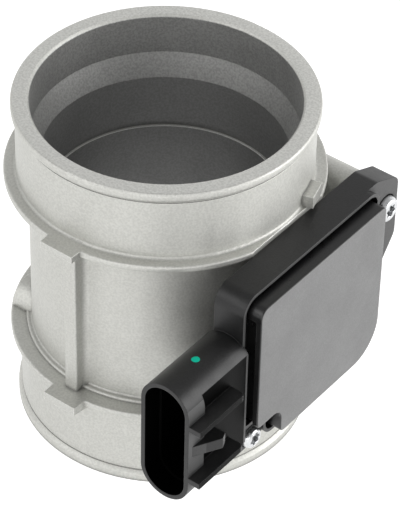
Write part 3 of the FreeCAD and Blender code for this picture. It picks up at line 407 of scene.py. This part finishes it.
def build_finish(
    name, dark, light, edge, rough, grain_size, depth, reach=2.0 * MM, front=None, socket=False, **sockets
):
    """Material with two close colours, a painted edge highlight, a roughness range and a fine bump.

    A front is a paler colour, a painted sheen, and a roughness for the faces that look outwards. Creases get
    painted shade. A socket and the pocket between the ribs get painted shade: they are black and lose the
    plastic's sheen, which a metallic value of 1 over a black colour takes away.
    """
    material, tree, shader = start_material(name, **sockets)
    place = add(tree, "ShaderNodeTexCoord").outputs["Object"]
    grain = group_node(
        tree, grain_group, Place=place, Fine_Scale=1.0 / grain_size, Coarse_Scale=COARSE_RATIO / grain_size
    )
    edges = group_node(tree, edge_group, Radius=0.35 * MM, Gain=2.0, Reach=reach)
    colour = blend_colour(tree, ramp(tree, grain["Height"], *GRAIN_RANGE), (*dark, 1), (*light, 1))
    roughness = ramp(tree, grain["Tone"], *TONE_RANGE, *rough)
    if front:
        # painted sheen: faces that look out along +X are painted paler
        painted_sheen_colour, front_roughness = front
        mask = group_node(tree, front_group)["Mask"]
        textured = ramp(tree, grain["Height"], *GRAIN_RANGE, *FRONT_GRAIN)
        cloud = ramp(tree, noise(tree, place, CLOUD_SCALE, CLOUD_DETAIL), *GRAIN_RANGE, *CLOUD_TONES)
        textured = math_node(tree, "MULTIPLY", textured, cloud)
        pale = add(tree, "ShaderNodeVectorMath", {0: painted_sheen_colour, 3: textured}, operation="SCALE")
        colour = blend_colour(tree, mask, colour, pale.outputs[0])
        roughness = blend_value(tree, mask, roughness, front_roughness)
    # painted highlight: outer edges lightened towards the edge colour
    colour = blend_colour(tree, math_node(tree, "MULTIPLY", edges["Edge"], EDGE_SHARE), colour, (*edge, 1))
    # painted shade: creases and narrow gaps darkened
    shaded = tuple(CREASE_SHADE * part for part in dark) + (1,)
    colour = blend_colour(tree, edges["Crease"], colour, shaded)
    if socket:
        # painted shade: the socket and the pocket are painted black, with the sheen taken away
        deep = group_node(tree, socket_group, Place=place)["Mask"]
        hollow_shade = math_node(tree, "MAXIMUM", deep, group_node(tree, front_group)["Pocket"])
        colour = blend_colour(tree, hollow_shade, colour, HOLLOW_SHADE_COLOUR)
        roughness = blend_value(tree, hollow_shade, roughness, HOLLOW_ROUGHNESS)
        tree.links.new(hollow_shade, shader.inputs["Metallic"])
    finish_material(tree, shader, colour, roughness, grain["Height"], edges["Normal"], depth)
    return material


BLACK, DARK_GREY = (0.008, 0.008, 0.008), (0.014, 0.014, 0.0145)
# A finish's third colour is the painted highlight along its outer edges; creases, the screws' star recesses too,
# get painted shade
finishes = {
    "cast_aluminium": casting,
    # front: a painted sheen on faces that look out along +X; socket: painted shade in the socket and the pocket
    "black_plastic": build_finish(
        "black_plastic", BLACK, DARK_GREY, (0.07, 0.07, 0.07), (0.34, 0.44), 0.5 * MM, 0.03 * MM,
        front=((0.085, 0.085, 0.085), 0.5), socket=True, Specular_IOR_Level=0.42
    ),
    # front: a painted sheen on the cover's face
    "cover_plastic": build_finish(
        "cover_plastic", BLACK, DARK_GREY, (0.5, 0.5, 0.5), (0.26, 0.36), 0.4 * MM, 0.015 * MM,
        front=((0.22, 0.22, 0.22), 0.46)
    ),
    "rubber": build_finish(
        "rubber", (0.015, 0.015, 0.015), (0.03, 0.03, 0.03),
        (0.04, 0.04, 0.04), (0.6, 0.8), 0.4 * MM, 0.02 * MM
    ),
    "plate_aluminium": build_finish(
        "plate_aluminium", (0.70, 0.70, 0.71), (0.80, 0.80, 0.81),
        (0.9, 0.9, 0.9), (0.28, 0.4), 0.5 * MM, 0.01 * MM, Metallic=1.0
    ),
    "board": build_finish(
        "board", (0.02, 0.16, 0.06), (0.03, 0.22, 0.09), (0.3, 0.32, 0.18), (0.2, 0.32), 1.2 * MM, 0.01 * MM
    ),
    "chip_black": build_finish(
        "chip_black", (0.018, 0.018, 0.02), (0.03, 0.03, 0.032),
        (0.08, 0.08, 0.08), (0.4, 0.55), 0.3 * MM, 0.02 * MM
    ),
    "ceramic": build_finish(
        "ceramic", (0.66, 0.60, 0.50), (0.78, 0.73, 0.63),
        (0.85, 0.82, 0.75), (0.25, 0.4), 0.4 * MM, 0.01 * MM
    ),
    "tinned_brass": build_finish(
        "tinned_brass", (0.66, 0.64, 0.60), (0.78, 0.76, 0.71),
        (0.86, 0.80, 0.60), (0.2, 0.34), 0.4 * MM, 0.01 * MM, Metallic=1.0
    ),
    "zinc_steel": build_finish(
        "zinc_steel", (0.60, 0.61, 0.62), (0.74, 0.75, 0.76),
        (0.90, 0.90, 0.90), (0.22, 0.34), 0.35 * MM, 0.015 * MM, reach=0.8 * MM, Metallic=1.0
    ),
}


def wear(piece, material):
    piece.data.materials.clear()
    piece.data.materials.append(material)


for entry in frame["record"]["subparts"]:
    wear(nodes[entry["node"]], finishes[entry["material_slot"]])
print("Finishes:", len(finishes))

# %% [markdown]
# Screws with star drives
#
# Each module screw has a domed head with a six-lobed star recess. The CAD screws are plain turned shapes,
# so these pieces replace them on the same seats, with wider heads, which the photograph shows. A screw is a
# stack of rings that are bridged one to the next. Those of the star have their points pulled in and out.

# %% Screw pieces
CAD_HEAD_RADIUS, CAD_HEAD_HEIGHT = 3.3 * MM, 2.3 * MM
UPPER_HEAD_RADIUS, LOWER_HEAD_RADIUS = 4.3 * MM, 3.6 * MM
UPPER_TURN, LOWER_TURN = math.radians(12), math.radians(41)
HEAD_HEIGHT = 2.9 * MM
SHANK_RADIUS = 1.75 * MM
SHANK_POINT = 0.3 * MM
STAR_RADIUS = 2.15 * MM
STAR_DEPTH = 1.4 * MM
STAR_LOBES = 6
STAR_POINTS = 48
LOBE_SHARE = 0.16

# The star's rings from its floor up: share of its radius, depth and share of its lobes
STAR_RINGS = [(0.35, STAR_DEPTH * 1.15, 0.5), (0.86, STAR_DEPTH, 1.0), (0.90, 0.10 * MM, 1.0), (1.0, 0.0, 0.85)]
# The dome's rings down to the seat: shares of the head's radius and height
DOME_RINGS = [(0.74, 0.98), (0.85, 0.86), (0.94, 0.64), (0.99, 0.34), (1.0, 0.0)]


def finished_piece(name, shape, material, smooth=True):
    """Mesh object made of a bmesh, riding on the one body."""
    bmesh.ops.recalc_face_normals(shape, faces=shape.faces)
    mesh = bpy.data.meshes.new(name)
    shape.to_mesh(mesh)
    shape.free()
    piece = bpy.data.objects.new(name, mesh)
    bpy.context.scene.collection.objects.link(piece)
    for face in mesh.polygons:
        face.use_smooth = smooth
    wear(piece, material)
    if smooth:
        piece.modifiers.new("smooth walls", "NODES").node_group = smoother
    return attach(piece, "root")


def ring(shape, radius, height, lobes=0.0):
    """Circle of points in the plane, pulled in and out into lobes, at a height along the screw."""
    made = bmesh.ops.create_circle(shape, segments=STAR_POINTS, radius=radius)["verts"]
    for point in made:
        turn = math.atan2(point.co.y, point.co.x)
        point.co *= 1.0 + lobes * math.cos(STAR_LOBES * turn)
        point.co.z = height
    return list({edge for point in made for edge in point.link_edges})


def screw_shape(head_radius, shank_length):
    """A screw on its seat: rings from the star's floor up, over the dome and down the shank, bridged in turn."""
    shape = bmesh.new()
    rings = [
        ring(shape, STAR_RADIUS * wide, HEAD_HEIGHT - deep, LOBE_SHARE * lobes)
        for wide, deep, lobes in STAR_RINGS
    ]
    rings += [ring(shape, head_radius * wide, HEAD_HEIGHT * tall) for wide, tall in DOME_RINGS]
    rings.append(ring(shape, SHANK_RADIUS, 0.0))
    rings.append(ring(shape, SHANK_RADIUS, -shank_length + SHANK_POINT))
    rings.append(ring(shape, SHANK_RADIUS - SHANK_POINT, -shank_length))
    for inner, outer in zip(rings, rings[1:]):
        bmesh.ops.bridge_loops(shape, edges=inner + outer)
    for end in (rings[0], rings[-1]):
        bmesh.ops.contextual_create(shape, geom=end)
    return shape


screw_low, screw_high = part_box("module_screws")
seat_x = screw_high.x - CAD_HEAD_HEIGHT
upper_place = Vector((seat_x, screw_high.y - CAD_HEAD_RADIUS, screw_high.z - CAD_HEAD_RADIUS))
lower_place = Vector((seat_x, screw_low.y + CAD_HEAD_RADIUS, screw_low.z + CAD_HEAD_RADIUS))
lay_down = Matrix.Rotation(math.pi / 2, 4, "Y")
for name, head_radius, place, turn in (
    ("upper_screw", UPPER_HEAD_RADIUS, upper_place, UPPER_TURN),
    ("lower_screw", LOWER_HEAD_RADIUS, lower_place, LOWER_TURN),
):
    shape = screw_shape(head_radius, seat_x - screw_low.x)
    stand = Matrix.Translation(place) @ lay_down @ Matrix.Rotation(turn, 4, "Z")
    bmesh.ops.transform(shape, matrix=stand, verts=shape.verts)
    finished_piece(name, shape, finishes["zinc_steel"])
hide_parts("module_screws")
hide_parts("module_screws")

# %% [markdown]
# The paint dot
#
# The photograph shows a teal dot on the crown of the connector's shroud, like an inspector's paint mark. It
# is a thin skin of paint, so a small disc is divided, laid over the shroud's curve and given a little
# thickness.

# %% Paint dot
SHROUD_ARC = 8.45 * MM
DOT_PLACE = (49.1 * MM, -48.2 * MM)
DOT_RADIUS = 1.25 * MM
DOT_POINTS = 32
PAINT_THICKNESS = 0.04 * MM


def build_dot():
    shape = bmesh.new()
    bmesh.ops.create_circle(shape, cap_ends=True, cap_tris=True, segments=DOT_POINTS, radius=DOT_RADIUS)
    bmesh.ops.subdivide_edges(shape, edges=shape.edges[:], cuts=2, use_grid_fill=True)
    for point in shape.verts:
        point.co.x += DOT_PLACE[0]
        point.co.y += DOT_PLACE[1]
        crown = math.sqrt(SHROUD_ARC ** 2 - (point.co.x - SHROUD_CENTRE) ** 2)
        point.co.z = SHROUD_LEVEL + SHROUD_RISE + crown + PAINT_THICKNESS
    bmesh.ops.recalc_face_normals(shape, faces=shape.faces)
    bmesh.ops.solidify(shape, geom=shape.faces[:], thickness=PAINT_THICKNESS * 2)
    paint = build_finish(
        "teal_paint", (0.0, 0.46, 0.30), (0.0, 0.54, 0.36),
        (0.0, 0.58, 0.40), (0.5, 0.6), 0.3 * MM, 0.01 * MM, Specular_IOR_Level=0.2
    )
    return finished_piece("paint_dot", shape, paint, smooth=False)


dot = build_dot()
print("Paint dot:", dot.name)

# %% [markdown]
# Studio
#
# The photograph has a plain white background and soft light. The floor and the sky are white to the camera
# and in reflections, and only their dimmer part lights the object, so colours render about as they are
# written. Three soft lamps shape the tube: one on the left, a low and weak one in front, and a strong one
# on the right that lights the module's face.

# %% Floor and sky
FLOOR_SIZE = 3.0
FLOOR_COLOUR, FLOOR_GLOW = (0.5, 0.5, 0.5, 1), 0.85
WHITE = (1, 1, 1, 1)
SKY_LIGHT = 0.58
# Reflections see a sky that dims from this height to that one, from full strength to this share
CEILING = (0.25, 0.85, 1.0, 0.45)


def build_floor():
    shape = bmesh.new()
    bmesh.ops.create_grid(shape, x_segments=1, y_segments=1, size=FLOOR_SIZE)
    mesh = bpy.data.meshes.new("floor")
    shape.to_mesh(mesh)
    shape.free()
    floor = bpy.data.objects.new("floor", mesh)
    bpy.context.scene.collection.objects.link(floor)
    material, tree, shader = start_material(
        "pale_floor", Base_Color=FLOOR_COLOUR, Roughness=0.9, Emission_Color=WHITE
    )
    path = add(tree, "ShaderNodeLightPath")
    seen = math_node(tree, "MAXIMUM", path.outputs["Is Camera Ray"], path.outputs["Is Glossy Ray"])
    seen = math_node(tree, "MAXIMUM", seen, path.outputs["Is Transmission Ray"])
    tree.links.new(math_node(tree, "MULTIPLY", seen, FLOOR_GLOW), shader.inputs["Emission Strength"])
    mesh.materials.append(material)


def build_sky():
    world = bpy.data.worlds.new("sky")
    bpy.context.scene.world = world
    world.use_nodes = True
    tree = world.node_tree
    path = add(tree, "ShaderNodeLightPath")
    direction = add(tree, "ShaderNodeTexCoord").outputs["Generated"]
    rise = add(tree, "ShaderNodeSeparateXYZ", {0: direction}).outputs[2]
    strength = blend_value(tree, path.outputs["Is Glossy Ray"], SKY_LIGHT, ramp(tree, rise, *CEILING))
    strength = math_node(tree, "MAXIMUM", strength, path.outputs["Is Camera Ray"])
    background = tree.nodes["Background"]
    background.inputs["Color"].default_value = WHITE
    tree.links.new(strength, background.inputs["Strength"])


build_floor()
build_sky()
print("Floor glow and sky light:", FLOOR_GLOW, SKY_LIGHT)

# %% Lamps
AIM = Vector((8.541, 6.443, 53.009)) * MM
# Place and size in metres, power in watts
LAMPS = {
    "key": ((-0.55, -0.95, 0.75), 0.8, 3.0),
    "front": ((0.35, -1.0, 0.35), 0.5, 1.5),
    "fill": ((1.0, 0.6, 0.35), 0.9, 9.0),
}


def soft_lamp(name, place, size, power):
    data = bpy.data.lights.new(name, "AREA")
    data.shape = "SQUARE"
    data.size = size
    data.energy = power
    lamp = bpy.data.objects.new(name, data)
    lamp.location = place
    lamp.rotation_mode = "QUATERNION"
    lamp.rotation_quaternion = (AIM - lamp.location).to_track_quat("-Z", "Y")
    bpy.context.scene.collection.objects.link(lamp)


for name, (place, size, power) in LAMPS.items():
    soft_lamp(name, place, size, power)
print("Lamps:", list(LAMPS))

# %% [markdown]
# Camera
#
# The camera stands where the photographer's did. Its place and long focal length come from fitting the
# tube's rings to the photograph. Their ellipses fix the direction and the height well and the distance only
# roughly.

# %% Camera
# The sensor's width and the focal length are in millimetres, as Blender takes them
SENSOR_WIDTH, FOCAL_LENGTH = 36.0, 196.86
CAMERA_PLACE = Vector((388.778, -497.614, 595.390)) * MM
CAMERA_ROLL = Quaternion((0, 0, 1), math.radians(1.3575))

camera_data = bpy.data.cameras.new("camera")
camera_data.sensor_width = SENSOR_WIDTH
camera_data.lens = FOCAL_LENGTH
camera = bpy.data.objects.new("camera", camera_data)
camera.location = CAMERA_PLACE
camera.rotation_mode = "QUATERNION"
camera.rotation_quaternion = (AIM - CAMERA_PLACE).to_track_quat("-Z", "Y") @ CAMERA_ROLL
bpy.context.scene.collection.objects.link(camera)
bpy.context.scene.camera = camera
bpy.context.scene.view_settings.view_transform = "Standard"
print("Camera distance in metres:", round((AIM - CAMERA_PLACE).length, 4))
